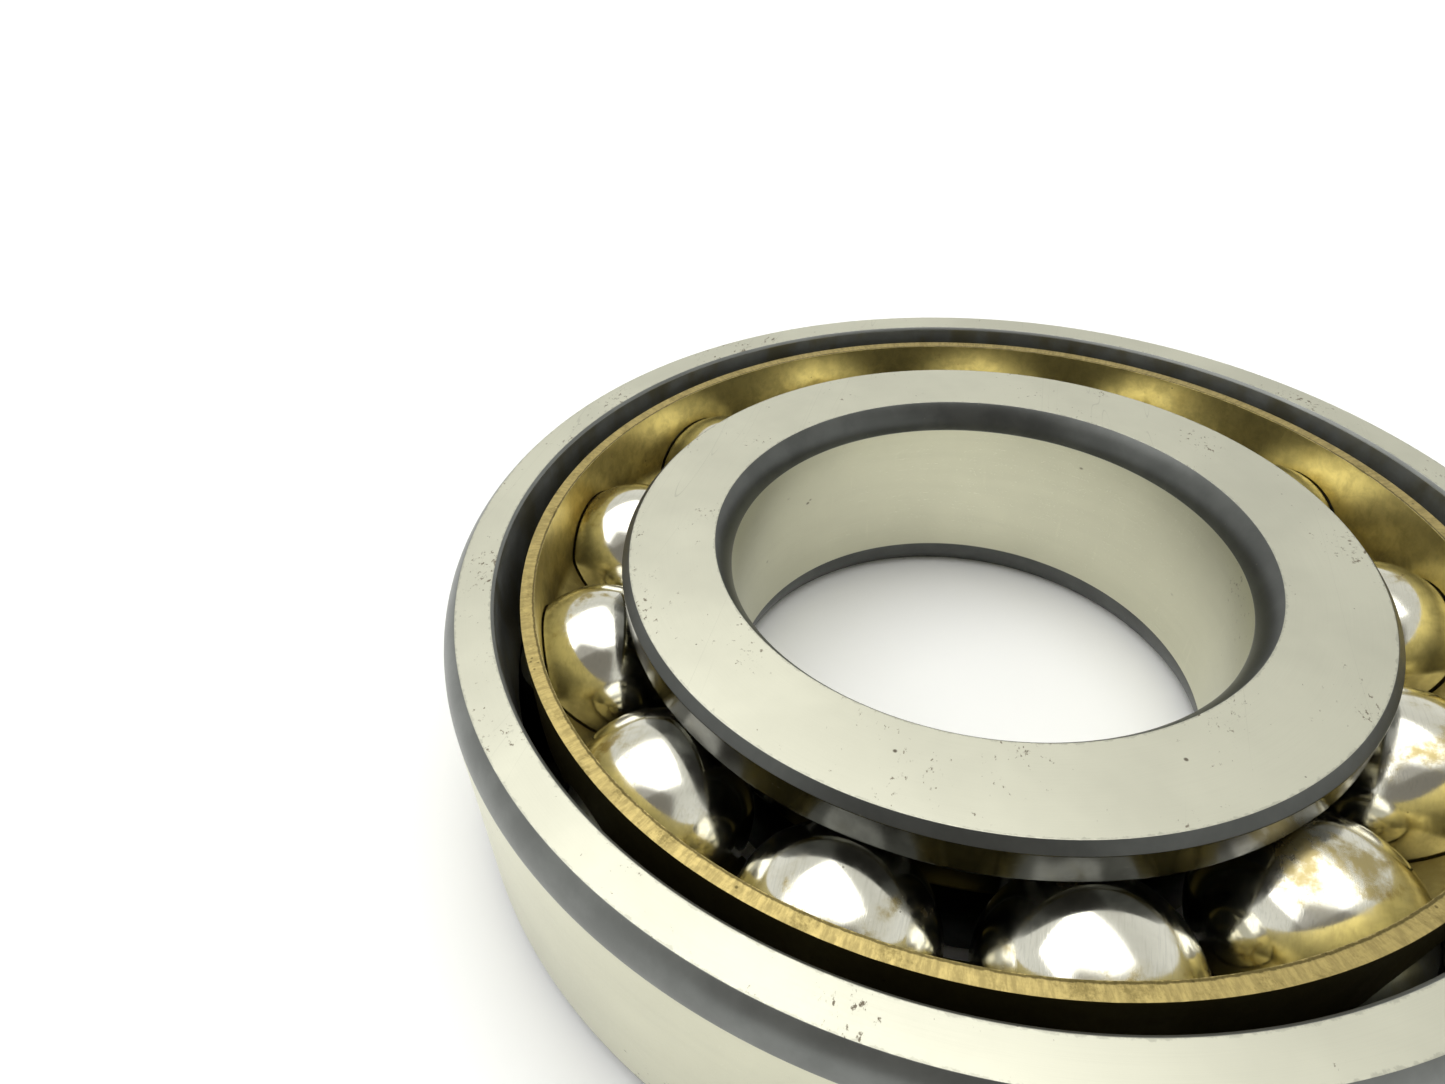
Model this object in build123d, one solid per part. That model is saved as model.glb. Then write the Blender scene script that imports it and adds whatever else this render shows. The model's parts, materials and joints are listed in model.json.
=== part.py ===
from build123d import *
from math import cos, radians, sin, sqrt, tan, atan2
import os

# Single-row angular contact ball bearing, 90 x 190 x 43 mm: two hardened steel rings,
# one pressed brass window cage and one row of steel balls.
#
# The bearing axis is Z and the origin lies on it at mid-width. +Z points out of the open
# face, where the outer ring is bored out and the inner ring has its high shoulder. The
# back face, at -Z, has the outer ring's high shoulder. All lengths are in millimetres.

# Boundary sizes
BORE_DIAMETER = 90.0
OUTER_DIAMETER = 190.0
WIDTH = 43.0

# Balls, in a row midway between the bore and the outer diameter
BALL_COUNT = 13
BALL_GAP = 3.3417             # straight distance between neighbouring balls
FIRST_BALL_AZIMUTH = 11.8     # degrees from +X towards +Y
CONTACT_ANGLE = 40.0          # degrees between the line of contact and the plane of the row

# Raceway grooves
GROOVE_CONFORMITY = 0.52      # groove radius as a part of the ball diameter
RUNNING_GAP = 0.02            # between ball and groove on the line of contact
GROOVE_EDGE_BREAK = 0.5       # small chamfer where a groove meets its high shoulder

# Inner ring: shoulders above the groove's deepest circle, and its edges
INNER_HIGH_SHOULDER = 9.7
INNER_LOW_SHOULDER = 0.4
INNER_LOW_TAPER = 0.5         # fall of the low shoulder towards the back face
INNER_EDGE_RADIAL = 1.4       # corner between high shoulder and open face
INNER_EDGE_AXIAL = 1.5
INNER_BACK_EDGE = 0.8         # chamfer between low shoulder and back face

# Outer ring: shoulders above the groove's deepest circle, and its edges
OUTER_HIGH_SHOULDER = 8.3
OUTER_LIP = 0.2               # retaining lip that the balls snap over
COUNTERBORE_TAPER = 1.0       # growth in radius from the lip to the open face
OUTER_FACE_EDGE = 0.5         # chamfer between counterbore and open face
OUTER_BACK_EDGE = 0.8         # chamfer between high shoulder and back face

# Rounded mounting corners: width on the face, length along the axis, bulge of the arc
BORE_CORNER_RADIAL = 2.8
BORE_CORNER_AXIAL = 5.5
BACK_BORE_CORNER_RADIAL = 2.4
BACK_BORE_CORNER_AXIAL = 6.1
OUTSIDE_CORNER_RADIAL = 2.6
OUTSIDE_CORNER_AXIAL = 4.8
CORNER_BULGE = 0.55

# Cage: one sheet that runs from a large collar, through a cone, to a small collar
CAGE_THICKNESS = 2.46
CAGE_FACE_RECESS = 2.0        # from each ring face to the cage's rims
CAGE_OUTER_GAP = 3.0          # between the large collar and the outer ring's lip
CAGE_INNER_GAP = 4.0          # between the small collar and the inner ring's low shoulder
CAGE_LARGE_BEND = 4.5         # height of the large collar's bend above mid-width
CAGE_SMALL_COLLAR = 3.5       # length of the small collar
CAGE_BEND_RADIUS = 3.5        # on the middle of the sheet
POCKET_GAP = 0.3              # between ball and window

# Sizes that follow from those above
half_width = WIDTH / 2
bore_radius = BORE_DIAMETER / 2
outside_radius = OUTER_DIAMETER / 2
pitch_radius = (bore_radius + outside_radius) / 2
ball_step = 360.0 / BALL_COUNT
ball_radius = pitch_radius * sin(radians(ball_step / 2)) - BALL_GAP / 2
groove_radius = GROOVE_CONFORMITY * 2 * ball_radius

# Each groove's centre is shifted from the ball's centre along the line of contact, so the
# ball meets the inner groove towards +Z and the outer groove towards -Z.
groove_shift = groove_radius - ball_radius - RUNNING_GAP
shift_radial = groove_shift * cos(radians(CONTACT_ANGLE))
shift_axial = groove_shift * sin(radians(CONTACT_ANGLE))
inner_groove_centre = Vector(pitch_radius + shift_radial, -shift_axial)
outer_groove_centre = Vector(pitch_radius - shift_radial, shift_axial)
inner_groove_bottom = inner_groove_centre.X - groove_radius
outer_groove_bottom = outer_groove_centre.X + groove_radius

inner_high_radius = inner_groove_bottom + INNER_HIGH_SHOULDER
inner_low_radius = inner_groove_bottom + INNER_LOW_SHOULDER
inner_back_radius = inner_low_radius - INNER_LOW_TAPER
outer_high_radius = outer_groove_bottom - OUTER_HIGH_SHOULDER
outer_lip_radius = outer_groove_bottom - OUTER_LIP
outer_face_radius = outer_lip_radius + COUNTERBORE_TAPER

cage_large_radius = outer_lip_radius - CAGE_OUTER_GAP - CAGE_THICKNESS / 2
cage_small_radius = inner_low_radius + CAGE_INNER_GAP + CAGE_THICKNESS / 2
cage_half_height = half_width - CAGE_FACE_RECESS


# Outlines are drawn in a plane whose X is the radius and whose Y is the height.


def groove_crossing(centre, radius, side):
    """Point where a groove's circle crosses a radius, above (+1) or below (-1) its centre."""
    height = sqrt(groove_radius**2 - (radius - centre.X) ** 2)
    return Vector(radius, centre.Y + side * height)


def groove_edge(centre, radius, side, away):
    """Ends of the chamfer between groove and shoulder: one on the groove, one on the shoulder.

    away is +1 where the groove lies outside its shoulder's radius, and -1 where inside.
    """
    corner = groove_crossing(centre, radius, side)
    on_groove = groove_crossing(centre, radius + away * GROOVE_EDGE_BREAK / 2, side)
    on_shoulder = Vector(radius, corner.Y + side * GROOVE_EDGE_BREAK)
    return on_groove, on_shoulder


def groove_arc(centre, start, end, deepest):
    """Arc of a groove from start to end, through its deepest point."""
    return ThreePointArc(start, Vector(deepest, centre.Y), end)


def rounded_corner(start, end, outward):
    """Mounting corner: a shallow arc from start to end that bulges towards outward."""
    middle = (start + end) / 2
    across = Vector(start.Y - end.Y, end.X - start.X).normalized()
    side = 1 if across.dot(outward) > 0 else -1
    return ThreePointArc(start, middle + across * side * CORNER_BULGE, end)


def turned(edges):
    """Ring made by turning a closed outline about the bearing axis."""
    outline = make_face(Curve() + edges)
    return revolve(Plane.XZ * outline, Axis.Z)


def build_inner_ring():
    groove_end, land_start = groove_edge(inner_groove_centre, inner_high_radius, 1, -1)
    land_end = Vector(inner_high_radius, half_width - INNER_EDGE_AXIAL)
    face_start = Vector(inner_high_radius - INNER_EDGE_RADIAL, half_width)
    face_end = Vector(bore_radius + BORE_CORNER_RADIAL, half_width)
    bore_top = Vector(bore_radius, half_width - BORE_CORNER_AXIAL)
    bore_end = Vector(bore_radius, -half_width + BACK_BORE_CORNER_AXIAL)
    back_start = Vector(bore_radius + BACK_BORE_CORNER_RADIAL, -half_width)
    back_end = Vector(inner_back_radius - INNER_BACK_EDGE, -half_width)
    low_end = Vector(inner_back_radius, -half_width + INNER_BACK_EDGE)
    low_start = groove_crossing(inner_groove_centre, inner_low_radius, -1)
    return turned([
        groove_arc(inner_groove_centre, low_start, groove_end, inner_groove_bottom),
        Polyline(groove_end, land_start, land_end, face_start, face_end),
        rounded_corner(face_end, bore_top, Vector(-1, 1)),
        Line(bore_top, bore_end),
        rounded_corner(bore_end, back_start, Vector(-1, -1)),
        Polyline(back_start, back_end, low_end, low_start),
    ])


def build_outer_ring():
    groove_end, land_start = groove_edge(outer_groove_centre, outer_high_radius, -1, 1)
    land_end = Vector(outer_high_radius, -half_width + OUTER_BACK_EDGE)
    back_start = Vector(outer_high_radius + OUTER_BACK_EDGE, -half_width)
    back_end = Vector(outside_radius - OUTSIDE_CORNER_RADIAL, -half_width)
    outside_bottom = Vector(outside_radius, -half_width + OUTSIDE_CORNER_AXIAL)
    outside_top = Vector(outside_radius, half_width - OUTSIDE_CORNER_AXIAL)
    face_start = Vector(outside_radius - OUTSIDE_CORNER_RADIAL, half_width)
    face_end = Vector(outer_face_radius + OUTER_FACE_EDGE, half_width)
    counterbore_top = Vector(outer_face_radius, half_width - OUTER_FACE_EDGE)
    lip = groove_crossing(outer_groove_centre, outer_lip_radius, 1)
    return turned([
        groove_arc(outer_groove_centre, lip, groove_end, outer_groove_bottom),
        Polyline(groove_end, land_start, land_end, back_start, back_end),
        rounded_corner(back_end, outside_bottom, Vector(1, -1)),
        Line(outside_bottom, outside_top),
        rounded_corner(outside_top, face_start, Vector(1, 1)),
        Polyline(face_start, face_end, counterbore_top, lip),
    ])


def build_ball(index):
    return Pos(*ball_centre(index)) * Sphere(ball_radius)


def ball_centre(index):
    azimuth = radians(FIRST_BALL_AZIMUTH + index * ball_step)
    return pitch_radius * cos(azimuth), pitch_radius * sin(azimuth), 0


def cage_side(offset):
    """One side of the bent sheet, offset from its middle line towards the outer ring."""
    small_bend = -cage_half_height + CAGE_SMALL_COLLAR
    slope = atan2(cage_large_radius - cage_small_radius, CAGE_LARGE_BEND - small_bend)
    mitre = offset * tan(slope / 2)
    points = [
        Vector(cage_large_radius + offset, cage_half_height),
        Vector(cage_large_radius + offset, CAGE_LARGE_BEND - mitre),
        Vector(cage_small_radius + offset, small_bend - mitre),
        Vector(cage_small_radius + offset, -cage_half_height),
    ]
    radii = [CAGE_BEND_RADIUS + offset, CAGE_BEND_RADIUS - offset]
    return FilletPolyline(*points, radius=radii)


def build_cage():
    outer_side = cage_side(CAGE_THICKNESS / 2)
    inner_side = cage_side(-CAGE_THICKNESS / 2)
    sheet = turned([
        outer_side,
        Line(outer_side @ 1, inner_side @ 1),
        inner_side,
        Line(inner_side @ 0, outer_side @ 0),
    ])
    window = Sphere(ball_radius + POCKET_GAP)
    windows = [Pos(*ball_centre(index)) * window for index in range(BALL_COUNT)]
    return sheet - windows


def write(shape, name):
    shape.label = name
    export_step(shape, f"parts/{name}.step")


os.makedirs("parts", exist_ok=True)
write(build_outer_ring(), "outer_ring")
write(build_inner_ring(), "inner_ring")
write(build_cage(), "cage")
for ball in range(BALL_COUNT):
    write(build_ball(ball), f"ball_{ball + 1:02d}")
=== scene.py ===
import json
from math import atan2, cos, pi, radians, sin, sqrt, tan

import bmesh
import bpy
from mathutils import Matrix, Vector

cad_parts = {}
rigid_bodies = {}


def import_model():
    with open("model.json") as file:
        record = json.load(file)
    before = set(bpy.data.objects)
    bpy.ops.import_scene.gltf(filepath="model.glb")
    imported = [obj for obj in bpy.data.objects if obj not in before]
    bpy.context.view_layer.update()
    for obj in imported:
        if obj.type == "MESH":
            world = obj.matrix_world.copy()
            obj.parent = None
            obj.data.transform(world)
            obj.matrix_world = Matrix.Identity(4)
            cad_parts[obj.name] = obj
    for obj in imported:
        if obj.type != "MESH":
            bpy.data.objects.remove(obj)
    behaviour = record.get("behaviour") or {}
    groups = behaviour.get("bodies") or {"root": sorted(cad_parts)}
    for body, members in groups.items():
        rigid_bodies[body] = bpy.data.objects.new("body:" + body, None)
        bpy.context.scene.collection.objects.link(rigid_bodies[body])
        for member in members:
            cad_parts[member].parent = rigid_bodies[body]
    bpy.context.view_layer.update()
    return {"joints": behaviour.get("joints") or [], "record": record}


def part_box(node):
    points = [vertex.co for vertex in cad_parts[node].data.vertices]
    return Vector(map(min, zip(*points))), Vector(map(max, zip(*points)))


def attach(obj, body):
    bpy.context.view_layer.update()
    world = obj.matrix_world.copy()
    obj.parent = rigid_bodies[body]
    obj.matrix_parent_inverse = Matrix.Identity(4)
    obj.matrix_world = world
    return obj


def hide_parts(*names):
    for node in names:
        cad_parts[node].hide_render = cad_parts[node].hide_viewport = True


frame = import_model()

bl_info = {
    "name": "Angular Contact Ball Bearing",
    "version": (1, 0, 0),
    "blender": (4, 5, 0),
    "location": "3D View > Sidebar > Bearing",
    "description": "Builds the finished look of a single-row angular contact ball bearing",
    "category": "Mesh",
}

# The CAD box, straight after loading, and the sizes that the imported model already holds.
MOUNT_RADIUS = {m["name"]: m["dims"]["r_mm"] / 1000 for m in frame["record"]["mounts"] if m["dims"]}
BALL_JOINTS = [joint for joint in frame["joints"] if joint["parent"] == "cage"]
BALL_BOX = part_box(BALL_JOINTS[0]["child"])
MM = 0.001
CLOSE = 1e-6    # two points nearer than this, in metres, are one
PANEL_CENTRE = (-0.375, -0.05)    # the ceiling light, on a ceiling one unit above the bearing
PANEL_SIZE = (1.31, 1.55)
PANEL_TURN = -47.0                # degrees
PANEL_EDGE = 0.03                 # half the width of its soft edge
PANEL_STRENGTH = 2.45
CAMERA_PLACE = (0.0, -1.444, 1.046)    # in outside radii, from the middle of the open face
CAMERA_TARGET = (-0.463, -0.158, 0.0)
CAMERA_ROLL = -2.6                     # degrees
CAMERA_LENS = 22.81                    # millimetres, on a sensor 36 wide


def length(name, description, millimetres):
    """A length that a user can set, in metres, with its default given in millimetres."""
    return bpy.props.FloatProperty(
        name=name, description=description, default=millimetres * MM,
        min=0.0, precision=5, unit="LENGTH", subtype="DISTANCE",
    )


def colour(name, description, rgb):
    """A linear colour that a user can set."""
    return bpy.props.FloatVectorProperty(
        name=name, description=description, default=rgb, size=3, min=0.0, max=1.0, subtype="COLOR",
    )


class BEARING_PG_sizes(bpy.types.PropertyGroup):
    """Sizes of the rings and the cage."""

    contact_angle: bpy.props.FloatProperty(
        name="Contact angle", description="Between the line of contact and the ball row's plane",
        default=radians(40.0), subtype="ANGLE", unit="ROTATION",
    )
    conformity: bpy.props.FloatProperty(
        name="Groove conformity", description="Groove radius as a part of the ball diameter",
        default=0.52, min=0.5, max=0.6,
    )
    running_gap: length("Running gap", "Between ball and groove on the line of contact", 0.02)
    groove_edge: length("Groove edge", "Small chamfer between a groove and its high shoulder", 0.5)
    inner_high: length("Inner high shoulder", "Its height above the inner groove", 9.7)
    inner_low: length("Inner low shoulder", "Its height above the inner groove", 0.4)
    inner_taper: length("Inner taper", "Fall of the low shoulder towards the back face", 0.5)
    inner_edge_radial: length("Inner edge width", "Corner of the high shoulder, on the face", 1.4)
    inner_edge_axial: length("Inner edge length", "Corner of the high shoulder, along the axis", 1.5)
    back_edge: length("Back edge", "Chamfer between a ring's shoulder and its back face", 0.8)
    outer_high: length("Outer high shoulder", "Its height above the outer groove", 8.3)
    outer_lip: length("Outer lip", "Height of the retaining lip above the outer groove", 0.2)
    counterbore_taper: length("Counterbore taper", "Growth in radius from lip to open face", 1.0)
    outer_face_edge: length("Counterbore edge", "Chamfer between counterbore and open face", 0.5)
    bore_corner_radial: length("Bore corner width", "Open side, on the face", 2.8)
    bore_corner_axial: length("Bore corner length", "Open side, along the axis", 5.5)
    back_corner_radial: length("Back bore corner width", "Back side, on the face", 2.4)
    back_corner_axial: length("Back bore corner length", "Back side, along the axis", 6.1)
    outside_corner_radial: length("Outside corner width", "On the face", 2.6)
    outside_corner_axial: length("Outside corner length", "Along the axis", 4.8)
    corner_bulge: length("Corner bulge", "How far a mounting corner bulges from its chord", 0.55)
    edge_softness: length("Edge softness", "Width of the worn edge between two ground faces", 0.12)
    sheet: length("Cage thickness", "Thickness of the brass sheet", 2.46)
    rim_recess: length("Rim recess", "From each ring face to the cage's rims", 2.0)
    cage_outer_gap: length("Large collar gap", "Between the collar and the outer ring's lip", 3.0)
    cage_inner_gap: length("Small collar gap", "Between the collar and the low shoulder", 4.0)
    large_bend: length("Large bend height", "Height of the large collar's bend", 4.5)
    small_collar: length("Small collar length", "Length of the small collar", 3.5)
    bend_radius: length("Bend radius", "On the middle of the sheet", 3.5)
    pocket_gap: length("Pocket gap", "Between a ball and its window", 0.3)
    rim_softness: length("Rim softness", "Rounding of the cage's trimmed edges", 0.18)


class BEARING_PG_colours(bpy.types.PropertyGroup):
    """Base colours of the finishes."""

    ground: colour("Ground faces", "Ground faces of both rings", (0.590, 0.585, 0.485))
    wall: colour("Ground walls", "Ground bore and outside", (0.640, 0.630, 0.485))
    polished: colour("Polished steel", "Raceways and lands", (0.470, 0.465, 0.410))
    dark: colour("Dark corner", "Turned and hardened corners left unground", (0.100, 0.104, 0.100))
    rust: colour("Rust", "Small stains on the ground faces", (0.125, 0.092, 0.060))
    # Real dried oil, and also the colour of the painted brown reflection towards the tops of the balls.
    ball: colour("Ball steel", "Lapped balls", (0.790, 0.775, 0.690))
    oil: colour("Old oil", "Dried oil film on the balls", (0.340, 0.255, 0.060))
    brass: colour("Brass", "The cage's pressed sheet", (0.660, 0.550, 0.205))
    # Real tarnish and dirt, and also the colour of the cage's painted shade: low down, outside its collar
    # and along its large rim.
    tarnish_and_shade: colour("Tarnish", "Darker, browner patches of the cage", (0.175, 0.138, 0.048))
    cut_brass: colour("Cut brass", "Trimmed rims and window edges", (0.480, 0.380, 0.150))
    floor: colour("Floor", "The pale surface under the bearing", (0.970, 0.978, 0.985))


def sizes():
    return bpy.context.scene.bearing_sizes


def colours():
    return bpy.context.scene.bearing_colours


# ---------------------------------------------------------------- geometry of the bearing


class Layout:
    """Radii and heights that follow from the frame and the sizes, in metres."""

    def __init__(self):
        s = sizes()
        self.half_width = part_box("outer_ring")[1].z
        self.bore = MOUNT_RADIUS["bore"]
        self.outside = MOUNT_RADIUS["outside"]
        self.pitch = Vector(BALL_JOINTS[0]["pos_m"]).length
        self.first_azimuth = atan2(BALL_JOINTS[0]["pos_m"][1], BALL_JOINTS[0]["pos_m"][0])
        self.step = 2 * pi / len(BALL_JOINTS)
        self.ball = (BALL_BOX[1].z - BALL_BOX[0].z) / 2
        self.groove = s.conformity * 2 * self.ball
        shift = self.groove - self.ball - s.running_gap
        radial, axial = shift * cos(s.contact_angle), shift * sin(s.contact_angle)
        self.inner_centre = Vector((self.pitch + radial, -axial))
        self.outer_centre = Vector((self.pitch - radial, axial))
        inner_bottom = self.inner_centre.x - self.groove
        outer_bottom = self.outer_centre.x + self.groove
        self.inner_high = inner_bottom + s.inner_high
        self.inner_low = inner_bottom + s.inner_low
        self.inner_back = self.inner_low - s.inner_taper
        self.outer_high = outer_bottom - s.outer_high
        self.outer_lip = outer_bottom - s.outer_lip
        self.outer_face = self.outer_lip + s.counterbore_taper
        self.face_inner = (self.bore + s.bore_corner_radial, self.inner_high - s.inner_edge_radial)
        self.face_outer = (self.outer_face + s.outer_face_edge, self.outside - s.outside_corner_radial)
        self.rim = self.half_width - s.rim_recess
        self.cage_large = self.outer_lip - s.cage_outer_gap - s.sheet / 2
        self.cage_small = self.inner_low + s.cage_inner_gap + s.sheet / 2


# Radial sections are drawn as points (radius, height).


def crossing(centre, reach, radius, side):
    """Where a circle round centre crosses a radius, above (+1) or below (-1) its centre."""
    return Vector((radius, centre.y + side * sqrt(reach**2 - (radius - centre.x) ** 2)))


def arc(centre, start, end, inward, steps=44):
    """Points of a groove's circle from start to end, by way of its deepest point."""
    def angle_of(point):
        away = point - centre
        return atan2(away.y, -away.x if inward else away.x)
    first, last = angle_of(start), angle_of(end)
    reach = (start - centre).length
    flip = -1 if inward else 1
    turns = [first + (last - first) * i / steps for i in range(steps + 1)]
    return [centre + Vector((flip * reach * cos(t), reach * sin(t))) for t in turns]


def bulged(start, end, outward, bulge, steps=10):
    """A shallow curve from start to end that bulges towards outward."""
    across = Vector((start.y - end.y, end.x - start.x)).normalized()
    if across.dot(outward) < 0:
        across = -across
    shares = [i / steps for i in range(steps + 1)]
    return [start.lerp(end, t) + across * (4 * bulge * t * (1 - t)) for t in shares]


def smooth_object(name, bm, finishes, soft_angle=radians(28)):
    """Closes a bmesh into an object with smooth faces, sharp only where it turns hard."""
    bmesh.ops.recalc_face_normals(bm, faces=bm.faces)
    for face in bm.faces:
        face.smooth = True
    mesh = bpy.data.meshes.new(name)
    bm.to_mesh(mesh)
    bm.free()
    mesh.set_sharp_from_angle(angle=soft_angle)
    piece = bpy.data.objects.new(name, mesh)
    bpy.context.scene.collection.objects.link(piece)
    for finish in finishes:
        mesh.materials.append(finish)
    weighted = piece.modifiers.new("even_shading", "WEIGHTED_NORMAL")
    weighted.keep_sharp = True
    weighted.weight = 50
    return piece


def soften(bm, width, segments=2, least_angle=radians(18)):
    """Rounds every edge that turns by more than least_angle."""
    bm.normal_update()
    hard = [e for e in bm.edges if len(e.link_faces) == 2 and e.calc_face_angle() > least_angle]
    bmesh.ops.bevel(
        bm, geom=hard, offset=width, offset_type="OFFSET", segments=segments, profile=0.5,
        affect="EDGES", material=-1, clamp_overlap=True,
    )


def repeat_round(bm, count):
    """Repeats one sector evenly round the axis until the ring is full, and joins the copies."""
    bmesh.ops.spin(
        bm, geom=bm.verts[:] + bm.edges[:] + bm.faces[:], cent=(0, 0, 0), axis=(0, 0, 1),
        dvec=(0, 0, 0), angle=2 * pi * (count - 1) / count, steps=count - 1, use_duplicate=True,
    )
    bmesh.ops.remove_doubles(bm, verts=bm.verts, dist=2 * CLOSE)
    bmesh.ops.recalc_face_normals(bm, faces=bm.faces)


def turned_ring(name, runs, finishes, sectors=24, steps=12):
    """A ring turned about Z from runs of section points, each with its own finish."""
    bm = bmesh.new()
    for points, finish in runs:
        known = len(bm.faces)
        verts = [bm.verts.new((p.x, 0.0, p.y)) for p in points]
        edges = [bm.edges.new(pair) for pair in zip(verts, verts[1:])]
        bmesh.ops.spin(
            bm, geom=verts + edges, cent=(0, 0, 0), axis=(0, 0, 1), dvec=(0, 0, 0),
            angle=2 * pi / sectors, steps=steps,
        )
        bm.faces.ensure_lookup_table()
        for face in bm.faces[known:]:
            face.material_index = finish
    bmesh.ops.remove_doubles(bm, verts=bm.verts, dist=CLOSE)
    repeat_round(bm, sectors)
    soften(bm, sizes().edge_softness)
    return smooth_object(name, bm, finishes)


FACE, WALL, POLISHED, DARK, RELIEF, LAND = range(6)    # the rings' finishes, in slot order


def inner_ring_runs(at):
    s = sizes()
    groove_end = crossing(at.inner_centre, at.groove, at.inner_high - s.groove_edge / 2, 1)
    land = crossing(at.inner_centre, at.groove, at.inner_high, 1)
    land_start = Vector((at.inner_high, land.y + s.groove_edge))
    land_end = Vector((at.inner_high, at.half_width - s.inner_edge_axial))
    face_start = Vector((at.inner_high - s.inner_edge_radial, at.half_width))
    face_end = Vector((at.bore + s.bore_corner_radial, at.half_width))
    bore_top = Vector((at.bore, at.half_width - s.bore_corner_axial))
    bore_end = Vector((at.bore, -at.half_width + s.back_corner_axial))
    back_start = Vector((at.bore + s.back_corner_radial, -at.half_width))
    back_end = Vector((at.inner_back - s.back_edge, -at.half_width))
    low_end = Vector((at.inner_back, -at.half_width + s.back_edge))
    low_start = crossing(at.inner_centre, at.groove, at.inner_low, -1)
    return [
        (arc(at.inner_centre, low_start, groove_end, True), POLISHED),
        ([groove_end, land_start], LAND),
        ([land_start, land_end], LAND),
        ([land_end, face_start], DARK),
        ([face_start, face_end], FACE),
        (bulged(face_end, bore_top, Vector((-1, 1)), s.corner_bulge), DARK),
        ([bore_top, bore_end], WALL),
        (bulged(bore_end, back_start, Vector((-1, -1)), s.corner_bulge), DARK),
        ([back_start, back_end], FACE),
        ([back_end, low_end], DARK),
        ([low_end, low_start], LAND),
    ]


def outer_ring_runs(at):
    s = sizes()
    groove_end = crossing(at.outer_centre, at.groove, at.outer_high + s.groove_edge / 2, -1)
    land = crossing(at.outer_centre, at.groove, at.outer_high, -1)
    land_start = Vector((at.outer_high, land.y - s.groove_edge))
    land_end = Vector((at.outer_high, -at.half_width + s.back_edge))
    back_start = Vector((at.outer_high + s.back_edge, -at.half_width))
    back_end = Vector((at.outside - s.outside_corner_radial, -at.half_width))
    wall_start = Vector((at.outside, -at.half_width + s.outside_corner_axial))
    wall_end = Vector((at.outside, at.half_width - s.outside_corner_axial))
    face_start = Vector((at.outside - s.outside_corner_radial, at.half_width))
    face_end = Vector((at.outer_face + s.outer_face_edge, at.half_width))
    relief_start = Vector((at.outer_face, at.half_width - s.outer_face_edge))
    lip = crossing(at.outer_centre, at.groove, at.outer_lip, 1)
    return [
        (arc(at.outer_centre, lip, groove_end, False), POLISHED),
        ([groove_end, land_start], LAND),
        ([land_start, land_end], LAND),
        ([land_end, back_start], DARK),
        ([back_start, back_end], FACE),
        (bulged(back_end, wall_start, Vector((1, -1)), s.corner_bulge), DARK),
        ([wall_start, wall_end], WALL),
        (bulged(wall_end, face_start, Vector((1, 1)), s.corner_bulge), DARK),
        ([face_start, face_end], FACE),
        ([face_end, relief_start], DARK),
        ([relief_start, lip], RELIEF),
    ]


class SheetLine:
    """The middle line of the cage's sheet, from the small rim (0) to the large rim (total)."""

    def __init__(self, at):
        s = sizes()
        self.low = Vector((at.cage_small, -at.rim + s.small_collar))
        self.high = Vector((at.cage_large, s.large_bend))
        self.cone = (self.high - self.low).normalized()
        self.slope = atan2(self.cone.x, self.cone.y)
        self.radius = s.bend_radius
        trim = self.radius * tan(self.slope / 2)
        bend = self.radius * self.slope
        self.collar_low = s.small_collar - trim
        self.straight = (self.high - self.low).length - 2 * trim
        self.collar_high = at.rim - s.large_bend - trim
        self.marks = [self.collar_low, bend, self.straight, bend, self.collar_high]
        self.total = sum(self.marks)
        self.start = Vector((at.cage_small, -at.rim))

    def place(self, distance, offset):
        """Section point at a distance along the line, moved by offset towards the outer ring."""
        point, heading, left = self.start.copy(), 0.0, distance
        for index, span in enumerate(self.marks):
            last = index == len(self.marks) - 1
            part = left if last else min(left, span)
            if index in (1, 3):
                way = 1 if index == 1 else -1
                turn = way * part / self.radius
                centre = point + way * self.radius * Vector((cos(heading), -sin(heading)))
                arm = point - centre
                arm = Vector((arm.x * cos(turn) + arm.y * sin(turn), arm.y * cos(turn) - arm.x * sin(turn)))
                point, heading = centre + arm, heading + turn
            else:
                point = point + part * Vector((sin(heading), cos(heading)))
            left -= part
            if left <= 0 and not last:
                break
        return point + offset * Vector((cos(heading), -sin(heading)))

    def nearest(self, target, samples=400):
        """Distance along the line at which it comes nearest to a section point."""
        tries = [self.total * i / samples for i in range(samples + 1)]
        return min(tries, key=lambda d: (self.place(d, 0.0) - target).length)


SHEET, CUT = range(2)    # the cage's finishes, in slot order
CELLS = 32               # cells along each side of one window's square of sheet
OPEN_CELLS = 24          # of them, taken out for the window
CELL_SLACK = 1e-4
COLLAR_ROWS = 8
HALVINGS = 40            # steps of the search for a window's edge
SHADOW_LINE_INSET = 0.25 * MM   # from the collar's inner side to the painted shadow line on its rim
SMALL_MARGIN = 1.6 * MM  # sheet kept round a window inside its square
LEAST_COLLAR = 4 * MM


def bent(line, flat):
    """A point of the flat sheet (turn about the axis, distance along, offset) in space."""
    section = line.place(flat.y, flat.z)
    return Vector((section.x * cos(flat.x), section.x * sin(flat.x), section.y))


def window_reach(line, centre, way, ball_centre, radius, offset):
    """How far from a window's middle its edge lies, along way, on the flat sheet."""
    near, far = 0.0, 1.0
    for _ in range(HALVINGS):
        middle = (near + far) / 2
        point = centre + way * middle
        inside = (bent(line, Vector((point.x, point.y, offset))) - ball_centre).length < radius
        near, far = (middle, far) if inside else (near, middle)
    return near


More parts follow.
